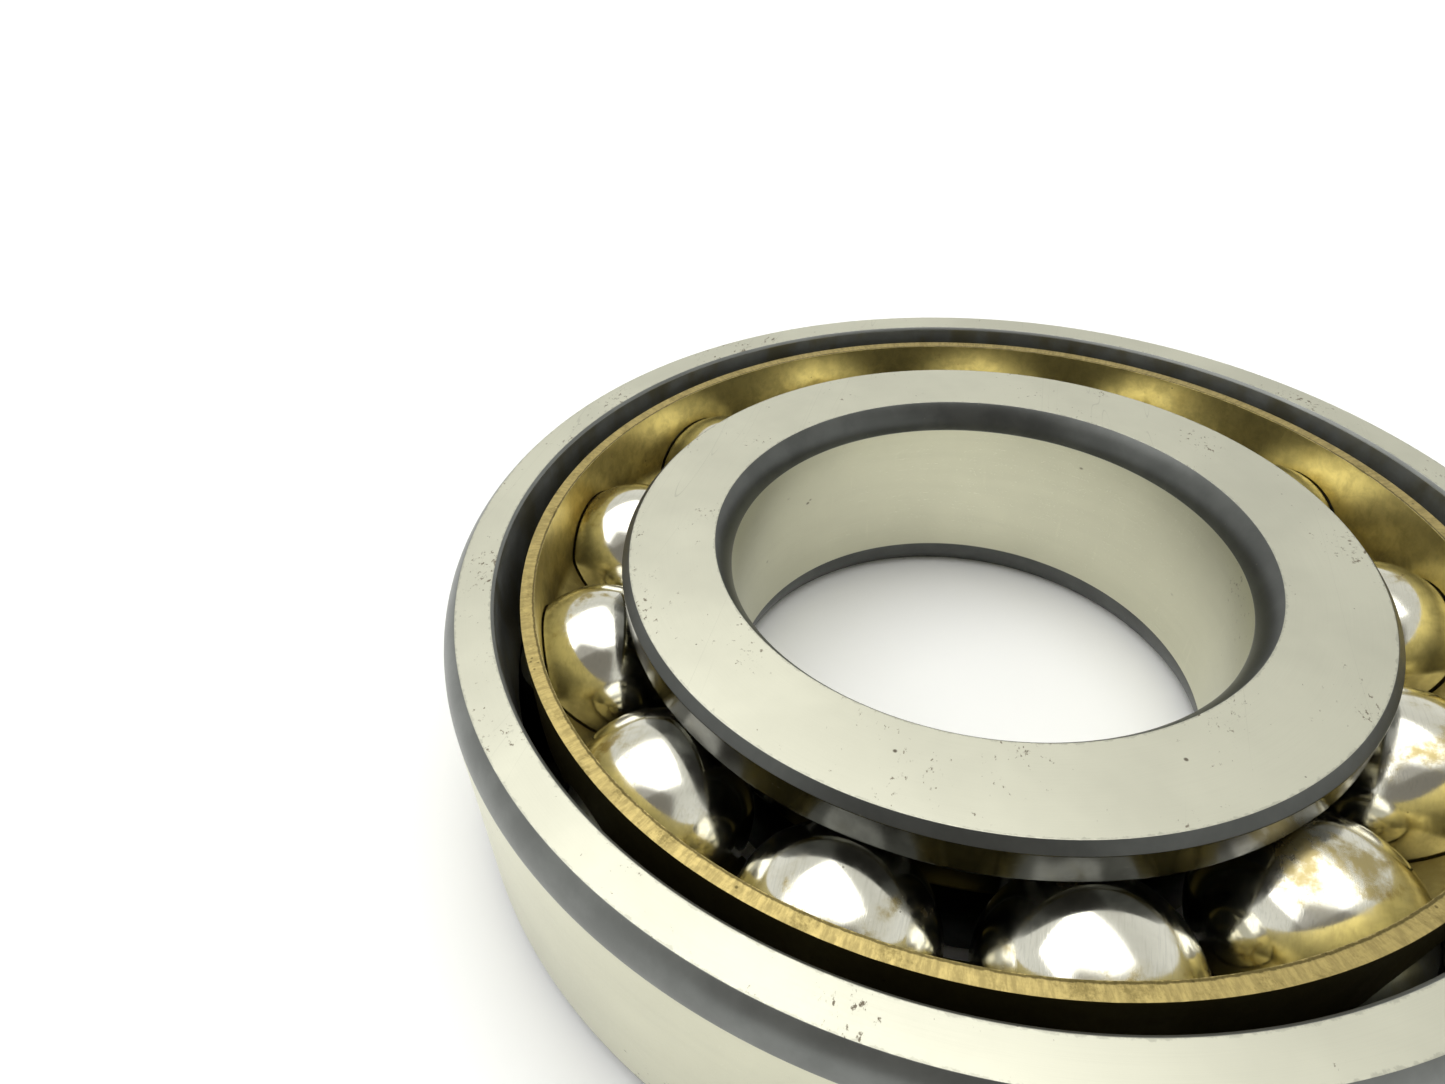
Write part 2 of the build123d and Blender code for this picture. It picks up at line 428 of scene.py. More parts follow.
def flat_skin(bm, line, at, offset):
    """One skin of one window's share of the flat sheet; returns its window's edges."""
    s = sizes()
    middle = line.nearest(Vector((at.pitch, 0.0)))
    ball_centre = Vector((at.pitch, 0.0, 0.0))
    radius = at.ball + s.pocket_gap
    half = Vector((at.step / 2, 0.0))
    upper = min(line.total - LEAST_COLLAR, middle + radius + 2 * SMALL_MARGIN)
    lower = max(SMALL_MARGIN, middle - radius - SMALL_MARGIN)
    made = bmesh.ops.create_grid(bm, x_segments=CELLS, y_segments=CELLS, size=1.0)["verts"]
    open_share = OPEN_CELLS / CELLS
    inner = [v for v in made if max(abs(v.co.x), abs(v.co.y)) < open_share - CELL_SLACK]
    bmesh.ops.delete(bm, geom=inner, context="VERTS")
    kept = [v for v in made if v.is_valid]
    centre = Vector((0.0, middle))
    for vert in kept:
        square = max(abs(vert.co.x), abs(vert.co.y))
        side = Vector((vert.co.x, vert.co.y)) / square
        height = (upper - middle) if side.y > 0 else (middle - lower)
        way = Vector((side.x * half.x, side.y * height))
        reach = window_reach(line, centre, way, ball_centre, radius, offset)
        share = (square - open_share) / (1 - open_share)
        point = centre + way * (reach + (1 - reach) * share)
        vert.co = Vector((point.x, point.y, offset))
    faces = {face for v in kept for face in v.link_faces}
    for face in faces:
        face.material_index = SHEET
    rim_edges = [e for face in faces for e in face.edges if e.is_boundary]
    window = {e for e in rim_edges if all(
        abs(v.co.x) < half.x - CLOSE and lower + CLOSE < v.co.y < upper - CLOSE for v in e.verts)}
    for level, goal, rows in ((upper, line.total, COLLAR_ROWS), (lower, 0.0, COLLAR_ROWS // 2)):
        row = [e for e in set(rim_edges) if all(abs(v.co.y - level) < CLOSE for v in e.verts)]
        for index in range(1, rows + 1):
            out = bmesh.ops.extrude_edge_only(bm, edges=row)["geom"]
            row = [g for g in out if isinstance(g, bmesh.types.BMEdge)
                   and all(v in out for v in g.verts)]
            fresh = [g for g in out if isinstance(g, bmesh.types.BMVert)]
            for vert in fresh:
                vert.co.y = level + (goal - level) * index / rows
    return list(window)


def build_cage_mesh(at):
    """The whole cage: one window's share of sheet, closed, bent and repeated round the axis."""
    s = sizes()
    line = SheetLine(at)
    bm = bmesh.new()
    windows = [flat_skin(bm, line, at, side * s.sheet / 2) for side in (-1, 1)]
    cut = bmesh.ops.bridge_loops(bm, edges=windows[0] + windows[1])["faces"]
    for level in (0.0, line.total):
        rim = [e for e in bm.edges if all(abs(v.co.y - level) < CLOSE and v.co.z < 0 for v in e.verts)]
        out = bmesh.ops.extrude_edge_only(bm, edges=rim)["geom"]
        for vert in (g for g in out if isinstance(g, bmesh.types.BMVert)):
            vert.co.z = s.sheet / 2
        cut += [g for g in out if isinstance(g, bmesh.types.BMFace)]
    for face in cut:
        face.material_index = CUT
    for vert in bm.verts:
        vert.co = bent(line, vert.co)
    turn = Matrix.Rotation(at.first_azimuth, 3, "Z")
    bmesh.ops.rotate(bm, verts=bm.verts, cent=(0, 0, 0), matrix=turn)
    repeat_round(bm, len(BALL_JOINTS))
    soften(bm, s.rim_softness, least_angle=radians(40))
    return bm


# ---------------------------------------------------------------- shader tools


class Value:
    """A shader socket that takes part in sums: each operator adds one Math node."""

    def __init__(self, recipe, socket):
        self.recipe = recipe
        self.socket = socket

    def math(self, operation, first, second, clamp=False):
        settings = {"operation": operation, "use_clamp": clamp}
        return self.recipe.add("ShaderNodeMath", settings, {0: first, 1: second})

    def __add__(self, other):
        return self.math("ADD", self, other)

    def __radd__(self, other):
        return self.math("ADD", other, self)

    def __sub__(self, other):
        return self.math("SUBTRACT", self, other)

    def __rsub__(self, other):
        return self.math("SUBTRACT", other, self)

    def __mul__(self, other):
        return self.math("MULTIPLY", self, other)

    def __rmul__(self, other):
        return self.math("MULTIPLY", other, self)

    def __truediv__(self, other):
        return self.math("DIVIDE", self, other)

    def __rtruediv__(self, other):
        return self.math("DIVIDE", other, self)

    def __pow__(self, other):
        return self.math("POWER", self, other)

    def __abs__(self):
        return self.math("ABSOLUTE", self, 0.0)

    def clipped(self):
        """The value held between 0 and 1."""
        return self.math("ADD", self, 0.0, clamp=True)

    def larger(self, other):
        return self.math("MAXIMUM", self, other)

    def between(self, low, high):
        """0 below low, 1 above high and a smooth rise between; low may be the larger."""
        settings = {"interpolation_type": "SMOOTHSTEP", "clamp": True}
        return self.recipe.add("ShaderNodeMapRange", settings, {0: self, 1: low, 2: high, 3: 0.0, 4: 1.0})


class Recipe:
    """The node tree of one material, or of the world."""

    def __init__(self, owner):
        owner.use_nodes = True
        self.owner = owner
        self.tree = owner.node_tree
        self.tree.nodes.clear()

    def add(self, kind, settings=None, values=None, output=0):
        """Adds a node: its settings first, then its sockets' values or links."""
        node = self.tree.nodes.new(kind)
        for key, setting in (settings or {}).items():
            setattr(node, key, setting)
        for key, value in (values or {}).items():
            if isinstance(value, Value):
                self.tree.links.new(value.socket, node.inputs[key])
            elif value is not None:
                node.inputs[key].default_value = value
        return Value(self, node.outputs[output])

    def place(self):
        """Object coordinates in millimetres."""
        at = self.add("ShaderNodeTexCoord", output="Object")
        return self.scaled(at, (1000.0, 1000.0, 1000.0))

    def scaled(self, vector, scale):
        return self.add("ShaderNodeVectorMath", {"operation": "MULTIPLY"}, {0: vector, 1: scale})

    def moved(self, vector, step):
        return self.add("ShaderNodeVectorMath", {"operation": "ADD"}, {0: vector, 1: step})

    def parts(self, vector):
        """The three numbers of a vector."""
        node = self.add("ShaderNodeSeparateXYZ", values={0: vector})
        return [Value(self, socket) for socket in node.socket.node.outputs]

    def vector(self, x, y, z):
        return self.add("ShaderNodeCombineXYZ", values={0: x, 1: y, 2: z})

    def ring_place(self):
        """Radius, arc length at 70 mm and height of a point, in millimetres."""
        x, y, z = self.parts(self.place())
        radius = (x * x + y * y) ** 0.5
        turn = x.math("ARCTAN2", y, x)
        return radius, turn * 70.0, z

    def noise(self, vector, scale, detail=3.0, roughness=0.5, distortion=0.0):
        """Fractal noise from 0 to 1, mostly near the middle; scale is cells per millimetre."""
        return self.add(
            "ShaderNodeTexNoise", {"noise_dimensions": "3D"},
            {"Vector": vector, "Scale": scale, "Detail": detail, "Roughness": roughness,
             "Distortion": distortion}, output="Fac",
        )

    def cells(self, vector, scale, output="Distance", feature="F1", randomness=1.0):
        return self.add(
            "ShaderNodeTexVoronoi", {"feature": feature},
            {"Vector": vector, "Scale": scale, "Randomness": randomness}, output=output,
        )

    def turned_about(self, vector, angle, scale):
        """Coordinates turned about Z by angle and stretched, for long thin marks."""
        return self.add("ShaderNodeMapping", values={
            "Vector": vector, "Rotation": (0.0, 0.0, angle), "Scale": scale})

    def blend(self, share, first, second, mode="MIX"):
        """Mixes two colours."""
        settings = {"data_type": "RGBA", "blend_type": mode, "clamp_factor": True}
        return self.add("ShaderNodeMix", settings, {0: share, 6: shade(first), 7: shade(second)}, output=2)

    def bump(self, height, strength, depth):
        """A normal from a height; depth is the height of 1, in metres."""
        values = {"Height": height, "Strength": strength, "Distance": depth}
        return self.add("ShaderNodeBump", values=values, output="Normal")

    def metal(self, base, rough, normal=None, metallic=1.0, anisotropic=0.0):
        """Finishes the material with one Principled shader."""
        values = {"Base Color": shade(base), "Roughness": rough, "Metallic": metallic, "Normal": normal,
                  "Anisotropic": anisotropic}
        surface = self.add("ShaderNodeBsdfPrincipled", values=values)
        return self.finish(surface, "ShaderNodeOutputMaterial")

    def finish(self, surface, kind):
        node = self.tree.nodes.new(kind)
        self.tree.links.new(surface.socket, node.inputs["Surface"])
        return self.owner


def shade(value):
    """A colour as a socket takes it, with its alpha; links and blanks stay as they are."""
    return value if value is None or isinstance(value, Value) else (*value[:3], 1.0)


# ---------------------------------------------------------------- finishes


def darker(rgb, factor):
    return tuple(channel * factor for channel in rgb)


def scratch_marks(recipe, place, angle, spread, fineness, width, seed):
    """Long thin bowed scratches near one angle: 1 on a scratch, broken up along it."""
    bend = recipe.noise(place, 0.012, detail=1.0)
    along = recipe.turned_about(place, angle, (fineness, spread, fineness))
    along = recipe.moved(along, recipe.vector(bend * 3.0, 0.0, 0.0))
    shifted = recipe.moved(along, (seed, seed, seed))
    line = abs(recipe.noise(shifted, 1.0, detail=0.0) - 0.5)
    mask = recipe.noise(shifted, 0.37, detail=1.0, distortion=0.4)
    return line.between(width, width * 0.3) * mask.between(0.60, 0.66)


def stains(recipe, place, size, amount):
    """Small ragged clusters of stain, 1 where stained."""
    where = recipe.noise(place, 0.055 / size, detail=2.0)
    grain = recipe.noise(place, 0.9 / size, detail=4.0, roughness=0.7)
    return (grain + where * 0.8).between(1.12 - amount, 1.20 - amount)


def pits(recipe, place, scale, reach):
    """Sparse round pits, 1 inside a pit; only a few cells hold one."""
    distance = recipe.cells(place, scale)
    chance = recipe.parts(recipe.cells(place, scale, output="Color"))[0]
    return distance.between(reach, reach * 0.45) * chance.between(0.80, 0.86)


def ground_face_finish(name, edges):
    """Ground ring face: pale satin grey with fine grinding lines, pits, stains and worn edges."""
    tone = colours()
    recipe = Recipe(bpy.data.materials.new(name))
    place = recipe.place()
    radius, around, _ = recipe.ring_place()
    lines = recipe.noise(recipe.vector(radius * 9.0, around * 0.05, 0.0), 1.0, detail=3.0, roughness=0.7)
    cross = recipe.noise(recipe.turned_about(place, 0.6, (6.0, 0.25, 1.0)), 1.0, detail=2.0)
    cloud = recipe.noise(place, 0.03, detail=4.0, roughness=0.6)
    grain = recipe.noise(place, 2.6, detail=2.0)
    marks = scratch_marks(recipe, place, 0.9, 0.016, 0.42, 0.006, 3.0)
    marks = marks.larger(scratch_marks(recipe, place, -0.5, 0.018, 0.38, 0.005, 11.0))
    stain = stains(recipe, place, 1.0, 0.0)
    stain = stain.larger(stains(recipe, recipe.turned_about(place, 0.5, (1.0, 0.6, 1.0)), 0.7, 0.01))
    pit = pits(recipe, place, 0.16, 0.070).larger(pits(recipe, place, 0.33, 0.06))
    ragged = recipe.noise(place, 0.8, detail=3.0, roughness=0.7)
    worn = None
    for edge in edges:
        near = abs(radius - edge / MM) + (ragged - 0.5) * 1.5
        band = near.between(0.32, 0.05)
        worn = band if worn is None else worn.larger(band)
    base = recipe.blend(cloud.between(0.35, 0.68), darker(tone.ground, 0.93), darker(tone.ground, 1.05))
    base = recipe.blend((lines - 0.45) * 0.35, base, darker(tone.ground, 0.72))
    base = recipe.blend(marks * 0.35, base, darker(tone.ground, 0.55))
    base = recipe.blend(worn * 0.35, base, darker(tone.ground, 0.40))
    base = recipe.blend(stain * 0.8, base, tone.rust)
    base = recipe.blend(pit * 0.85, base, darker(tone.rust, 0.6))
    rough = 0.40 + (grain - 0.5) * 0.10 + (lines - 0.5) * 0.10 + stain * 0.25 + pit * 0.2
    height = lines * 0.30 + cross * 0.18 + grain * 0.20 - marks * 0.8 - pit * 2.5 - stain * 0.6
    return recipe.metal(base, rough.clipped(), recipe.bump(height, 0.55, 4e-6))


def ground_wall_finish(name):
    """Ground bore and outside: satin, drawn out by the grinding lines that run round it."""
    tone = colours()
    recipe = Recipe(bpy.data.materials.new(name))
    place = recipe.place()
    _, around, height_mm = recipe.ring_place()
    round_it = recipe.vector(around * 0.04, 0.0, height_mm * 11.0)
    lines = recipe.noise(round_it, 1.0, detail=3.0, roughness=0.7)
    bands = recipe.noise(recipe.vector(around * 0.015, 3.0, height_mm * 0.35), 1.0, detail=2.0)
    cloud = recipe.noise(place, 0.04, detail=4.0)
    grain = recipe.noise(place, 2.4, detail=2.0)
    rub = recipe.noise(recipe.vector(around * 0.5, 7.0, height_mm * 0.06), 1.0, detail=3.0)
    nick = recipe.cells(recipe.vector(around * 0.09, 1.0, height_mm * 0.22), 1.0)
    nick = nick.between(0.09, 0.03) * recipe.noise(place, 0.05).between(0.52, 0.58)
    stain = stains(recipe, place, 1.4, -0.06)
    base = recipe.blend(cloud.between(0.35, 0.7), darker(tone.wall, 0.96), darker(tone.wall, 1.04))
    base = recipe.blend((bands - 0.5) * 0.5, base, darker(tone.wall, 0.75))
    base = recipe.blend(rub.between(0.62, 0.74) * 0.25, base, darker(tone.wall, 1.12))
    base = recipe.blend(nick * 0.7, base, darker(tone.rust, 0.8))
    base = recipe.blend(stain * 0.5, base, tone.rust)
    rough = 0.30 + (grain - 0.5) * 0.08 + (lines - 0.5) * 0.12 + nick * 0.2 + stain * 0.2
    height = lines * 0.35 + grain * 0.15 - nick * 2.0
    return recipe.metal(base, rough.clipped(), recipe.bump(height, 0.5, 3e-6), anisotropic=0.45)


def polished_finish(name):
    """Honed raceways and lands: near mirror with honing lines and a thin smear of old oil."""
    tone = colours()
    recipe = Recipe(bpy.data.materials.new(name))
    place = recipe.place()
    radius, around, height_mm = recipe.ring_place()
    lines = recipe.noise(recipe.vector(radius * 7.0, around * 0.05, height_mm * 7.0), 1.0, detail=2.0)
    smear = recipe.noise(recipe.vector(radius * 0.3, around * 0.06, height_mm * 0.3), 1.0, detail=4.0)
    grain = recipe.noise(place, 3.0, detail=2.0)
    film = smear.between(0.52, 0.72)
    base = recipe.blend(film * 0.45, tone.polished, (0.30, 0.24, 0.12))
    rough = 0.10 + (lines - 0.5) * 0.08 + film * 0.12 + (grain - 0.5) * 0.04
    return recipe.metal(base, rough.clipped(), recipe.bump(lines * 0.5 + film * 0.5, 0.35, 2e-6))


def land_finish(name):
    """Hardened shoulder lands: dark, half gloss, with turning lines that run round."""
    tone = colours()
    recipe = Recipe(bpy.data.materials.new(name))
    place = recipe.place()
    radius, around, height_mm = recipe.ring_place()
    lines = recipe.noise(recipe.vector(radius * 5.0, around * 0.04, height_mm * 5.0), 1.0, detail=3.0)
    cloud = recipe.noise(place, 0.12, detail=4.0, roughness=0.6)
    grain = recipe.noise(place, 2.8, detail=3.0, roughness=0.6)
    rubbed = recipe.vector(around * 0.5, radius, height_mm * 1.6)
    scuff = recipe.noise(rubbed, 1.0, detail=5.0, roughness=0.7)
    scuff = scuff.between(0.60, 0.74)
    base = recipe.blend(cloud.between(0.35, 0.7), darker(tone.dark, 0.42), darker(tone.dark, 0.85))
    base = recipe.blend(scuff * 0.18, base, darker(tone.ground, 0.5))
    rough = 0.19 + (cloud - 0.5) * 0.14 + (grain - 0.5) * 0.14 + scuff * 0.10
    height = lines * 0.6 + grain * 0.4
    return recipe.metal(base, rough.clipped(), recipe.bump(height, 0.5, 3e-6))


def dark_corner_finish(name, lift):
    """Turned, hardened and unground steel: dull blue-grey with light specks and rubbed spots."""
    tone = colours()
    recipe = Recipe(bpy.data.materials.new(name))
    place = recipe.place()
    radius, around, height_mm = recipe.ring_place()
    cloud = recipe.noise(place, 0.12, detail=4.0, roughness=0.6)
    turning = recipe.noise(recipe.vector(radius * 5.0, around * 0.04, height_mm * 5.0), 1.0, detail=2.0)
    grain = recipe.noise(place, 3.2, detail=3.0, roughness=0.6)
    speck = pits(recipe, place, 0.55, 0.10)
    rubbed = recipe.noise(recipe.vector(around * 0.4, height_mm, radius), 0.9, detail=5.0, roughness=0.75)
    rubbed = rubbed.between(0.70, 0.78)
    low, high = darker(tone.dark, lift * 1.02), darker(tone.dark, lift * 1.28)
    base = recipe.blend(cloud.between(0.35, 0.7), low, high)
    base = recipe.blend(rubbed * 0.35, base, darker(tone.ground, 0.55))
    base = recipe.blend(speck * 0.4, base, darker(tone.ground, 0.45))
    rough = 0.35 + (cloud - 0.5) * 0.06 + (grain - 0.5) * 0.14
    height = turning * 0.5 + grain * 0.5 - speck * 1.0
    return recipe.metal(base, rough.clipped(), recipe.bump(height, 0.5, 4e-6), metallic=0.85)


def relief_finish(name):
    """Counterbore wall: turned and hardened, greenish brown with greasy upright streaks."""
    tone = colours()
    recipe = Recipe(bpy.data.materials.new(name))
    place = recipe.place()
    _, around, height_mm = recipe.ring_place()
    turning = recipe.noise(recipe.vector(around * 0.05, 1.0, height_mm * 6.0), 1.0, detail=2.0)
    cloud = recipe.noise(place, 0.10, detail=4.0, roughness=0.6)
    grain = recipe.noise(place, 2.8, detail=3.0)
    upright = recipe.vector(around * 0.16, 5.0, height_mm * 0.07)
    grease = recipe.noise(upright, 1.0, detail=5.0, roughness=0.6).between(0.42, 0.66)
    base = recipe.blend(cloud.between(0.35, 0.7), darker(tone.dark, 2.8), darker(tone.dark, 3.8))
    base = recipe.blend(grease * 0.6, base, (0.300, 0.275, 0.150))
    rough = 0.44 - grease * 0.12 + (grain - 0.5) * 0.14
    height = turning * 0.6 + grain * 0.3 + grease * 0.6
    return recipe.metal(base, rough.clipped(), recipe.bump(height, 0.5, 4e-6), metallic=0.8)


def ball_finish(name):
    """Lapped ball: mirror steel, fine one-way scratches, a broken film of dried oil, and a painted brown
    reflection laid towards its top.
    """
    tone = colours()
    recipe = Recipe(bpy.data.materials.new(name))
    place = recipe.place()
    height_mm = recipe.parts(place)[2]
    broad = recipe.noise(place, 0.095, detail=3.0, roughness=0.55, distortion=0.5)
    fine = recipe.noise(place, 0.55, detail=5.0, roughness=0.68)
    # Dried oil in random patches, pushed towards the top of each ball by the height term as a painted brown
    # reflection.
    oil_and_top_reflection = broad + (fine - 0.5) * 0.30 + height_mm * 0.006
    film, thick_oil_and_reflection = oil_and_top_reflection.between(0.56, 0.80), oil_and_top_reflection.between(0.665, 0.775)
    haze = recipe.noise(place, 0.22, detail=5.0, roughness=0.6).between(0.38, 0.70)
    drawn = recipe.turned_about(place, 0.8, (4.2, 0.14, 1.6))
    streak = recipe.noise(drawn, 1.0, detail=2.0, distortion=0.3).between(0.50, 0.72)
    drawn = recipe.turned_about(place, -0.4, (1.6, 0.05, 0.8))
    hair = abs(recipe.noise(drawn, 1.0, detail=1.0) - 0.5).between(0.010, 0.003)
    speck = pits(recipe, place, 0.5, 0.09)
    swell = recipe.noise(place, 0.16, detail=2.0)
    base = recipe.blend(haze * 0.35, tone.ball, darker(tone.ball, 0.76))
    base = recipe.blend(streak * 0.22, base, darker(tone.ball, 0.60))
    base = recipe.blend(film * 0.40, base, (0.46, 0.40, 0.20))
    base = recipe.blend(thick_oil_and_reflection * 0.75, base, tone.oil)
    base = recipe.blend(speck * 0.6, base, darker(tone.rust, 0.8))
    rough = 0.100 + haze * 0.09 + film * 0.10 + thick_oil_and_reflection * 0.08 + streak * 0.03
    height = streak * 0.7 - hair * 0.5 + film * 0.5 + thick_oil_and_reflection * 1.6 + swell * 5.0 + fine * 1.5
    return recipe.metal(base, rough.clipped(), recipe.bump(height, 0.35, 5e-6))


def brass_finish(name, collar):
    """Pressed brass sheet: satin old gold with random dark patches, painted shade that turns it browner low
    down and painted near-black shade outside its collar.
    """
    tone = colours()
    recipe = Recipe(bpy.data.materials.new(name))
    place = recipe.place()
    radius, around, height_mm = recipe.ring_place()
    mottle = recipe.noise(place, 0.30, detail=6.0, roughness=0.68, distortion=0.3)
    broad = recipe.noise(place, 0.050, detail=3.0)
    grain = recipe.noise(place, 2.2, detail=3.0, roughness=0.7)
    drawn = recipe.noise(recipe.vector(around * 1.6, radius * 0.2, height_mm * 0.12), 1.0, detail=4.0)
    red = recipe.noise(place, 0.5, detail=4.0, roughness=0.7)
    red = red.between(0.66, 0.76) * broad.between(0.46, 0.56)
    # Random tarnish patches plus painted shade: the height term makes the sheet darker and browner towards
    # the bottom of the bearing.
    dark_patches_and_low_shade = (mottle * 0.30 + broad * 0.45 - height_mm * 0.020).between(0.02, 0.42)
    speck = pits(recipe, place, 0.45, 0.12)
    base = recipe.blend(mottle.between(0.38, 0.64), darker(tone.brass, 1.06), darker(tone.brass, 0.88))
    base = recipe.blend((drawn - 0.4) * 0.3, base, darker(tone.brass, 0.75))
    base = recipe.blend(dark_patches_and_low_shade * 0.72, base, tone.tarnish_and_shade)
    # Painted shade: the outside of the large collar, down in the narrow gap by the outer ring, is laid near
    # black.
    outside = radius.between(collar / MM - 0.3, collar / MM + 0.3)
    base = recipe.blend(outside * 0.85, base, darker(tone.tarnish_and_shade, 0.35))
    base = recipe.blend(red * 0.55, base, (0.26, 0.065, 0.035))
    base = recipe.blend(speck * 0.6, base, darker(tone.tarnish_and_shade, 0.4))
    rough = 0.40 + (grain - 0.5) * 0.20 + dark_patches_and_low_shade * 0.10 + (drawn - 0.5) * 0.12
    height = grain * 0.8 + drawn * 0.7 + mottle * 1.0 - speck * 1.5
    return recipe.metal(base, rough.clipped(), recipe.bump(height, 0.6, 9e-6))


def cut_brass_finish(name, shadow_line_radius):
    """Trimmed edges of the cage: brighter, with short tool marks across the sheet and a painted shadow line
    along the large rim's inner side.
    """
    tone = colours()
    recipe = Recipe(bpy.data.materials.new(name))
    place = recipe.place()
    radius, around, height_mm = recipe.ring_place()
    across = recipe.vector(around * 1.6, radius * 0.35, height_mm * 0.2)
    tool = recipe.noise(across, 1.0, detail=4.0, roughness=0.70)
    patch = recipe.noise(place, 0.20, detail=5.0, roughness=0.65)
    grain = recipe.noise(place, 2.6, detail=4.0, roughness=0.7)
    nick = pits(recipe, place, 0.7, 0.20)
    lane = recipe.noise(recipe.vector(radius * 2.4, around * 0.05, 0.0), 1.0, detail=2.0)
    dirt = (patch * 0.7 + grain * 0.4).between(0.56, 0.72)
    ragged = recipe.noise(place, 1.1, detail=3.0, roughness=0.7)
    # Painted shadow: a dark ragged line on the large rim, just inside the collar's inner side.
    rim_shadow_line = abs(radius - shadow_line_radius / MM + (ragged - 0.5) * 0.5).between(0.26, 0.08)
    bright, dull = darker(tone.cut_brass, 1.08), darker(tone.cut_brass, 0.70)
    base = recipe.blend(tool.between(0.34, 0.66), bright, dull)
    base = recipe.blend((lane - 0.4) * 0.8, base, darker(tone.cut_brass, 0.60))
    base = recipe.blend(dirt * 0.60, base, tone.tarnish_and_shade)
    base = recipe.blend(nick * 0.7, base, darker(tone.tarnish_and_shade, 0.4))
    base = recipe.blend(rim_shadow_line * 0.8, base, darker(tone.tarnish_and_shade, 0.35))
    rough = 0.38 + (tool - 0.5) * 0.25 + dirt * 0.12
    height = tool * 0.55 + grain * 0.8 + lane * 0.8 - nick * 2.0 - rim_shadow_line * 2.0
    return recipe.metal(base, rough.clipped(), recipe.bump(height, 0.7, 1.2e-5))


def floor_finish(name):
    """Plain pale matt surface."""
    tone = colours()
    recipe = Recipe(bpy.data.materials.new(name))
    cloud = recipe.noise(recipe.place(), 0.01, detail=3.0)
    base = recipe.blend(cloud, darker(tone.floor, 0.985), darker(tone.floor, 1.015))
    return recipe.metal(base, 0.45 + cloud * 0.1, metallic=0.0)


# ---------------------------------------------------------------- operators


class BEARING_OT_camera(bpy.types.Operator):
    """Puts the camera above the near side of the bearing, looking down into the ball row"""

    bl_idname = "bearing.camera"
    bl_label = "Camera"

    def execute(self, context):
        at = Layout()
        middle = Vector((0.0, 0.0, at.half_width))
        place = middle + at.outside * Vector(CAMERA_PLACE)
        target = middle + at.outside * Vector(CAMERA_TARGET)
        data = bpy.data.cameras.new("camera")
        data.lens = CAMERA_LENS
        data.sensor_width = 36.0
        data.clip_start = 0.005
        camera = bpy.data.objects.new("camera", data)
        context.scene.collection.objects.link(camera)
        aim = (target - place).to_track_quat("-Z", "Y").to_matrix().to_4x4()
        roll = Matrix.Rotation(radians(CAMERA_ROLL), 4, "Z")
        camera.matrix_world = Matrix.Translation(place) @ aim @ roll
        context.scene.camera = camera
        return {"FINISHED"}


class BEARING_OT_stage(bpy.types.Operator):
    """Adds the pale floor and the soft studio light"""

    bl_idname = "bearing.stage"
    bl_label = "Stage"

    def execute(self, context):
        at = Layout()
        bm = bmesh.new()
        bmesh.ops.create_circle(bm, cap_ends=True, segments=96, radius=6.0)
        bmesh.ops.translate(bm, verts=bm.verts, vec=(0.0, 0.0, -at.half_width))
        mesh = bpy.data.meshes.new("floor")
        bm.to_mesh(mesh)
        bm.free()
        floor = bpy.data.objects.new("floor", mesh)
        context.scene.collection.objects.link(floor)
        mesh.materials.append(floor_finish("floor_finish"))
        context.scene.world = self.light_tent()
        context.scene.view_settings.view_transform = "Standard"
        context.scene.view_settings.look = "None"
        return {"FINISHED"}

    def light_tent(self):
        """A pale tent with a square ceiling light, open and dark in front, before a plain backdrop."""
        recipe = Recipe(bpy.data.worlds.new("studio"))
        x, y, z = recipe.parts(recipe.add("ShaderNodeTexCoord", output="Generated"))
        up = z.larger(0.02)
        ceiling_x, ceiling_y = x / up, y / up
        across, along = ceiling_x - PANEL_CENTRE[0], ceiling_y - PANEL_CENTRE[1]
        turn = radians(PANEL_TURN)
        side = abs(across * cos(turn) + along * sin(turn))
        end = abs(along * cos(turn) - across * sin(turn))
        panel = 1.0
        for distance, size in zip((side, end), PANEL_SIZE):
            panel = distance.between(size / 2 + PANEL_EDGE, size / 2 - PANEL_EDGE) * panel
        front = (ceiling_y * -1.0).between(0.25, 0.42)
        spread = abs(ceiling_x - 0.12) - ceiling_y * -0.55
        opening = front * spread.between(0.42, 0.18)
        wall = recipe.blend(z.between(0.0, 0.9), (0.90, 0.905, 0.87), (0.70, 0.70, 0.655))
        room = self.glow(recipe, recipe.blend(opening * 0.80, wall, (0.10, 0.085, 0.065)))
        panel_light = self.glow(recipe, (1.0, 0.995, 0.97), PANEL_STRENGTH)
        tent = self.either(recipe, panel * (1.0 - opening * 0.9), room, panel_light)
        seen = recipe.add("ShaderNodeLightPath", output="Is Camera Ray")
        whole = self.either(recipe, seen, tent, self.glow(recipe, (0.95, 0.955, 0.94)))
        return recipe.finish(whole, "ShaderNodeOutputWorld")

    def glow(self, recipe, tint, strength=1.0):
        return recipe.add("ShaderNodeBackground", values={"Color": shade(tint), "Strength": strength})

    def either(self, recipe, share, first, second):
        return recipe.add("ShaderNodeMixShader", values={0: share, 1: first, 2: second})


def finish_ring(name, runs, faces, lift):
    """Builds one ring with its finishes, puts it on its body and hides its CAD stand-in."""
    finishes = [
        ground_face_finish(f"{name}_face", faces), ground_wall_finish(f"{name}_wall"),
        polished_finish(f"{name}_raceway"), dark_corner_finish(f"{name}_corner", lift),
        relief_finish(f"{name}_relief"), land_finish(f"{name}_land"),
    ]
    piece = turned_ring(f"{name}_steel", runs, finishes)
    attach(piece, name)
    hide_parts(name)


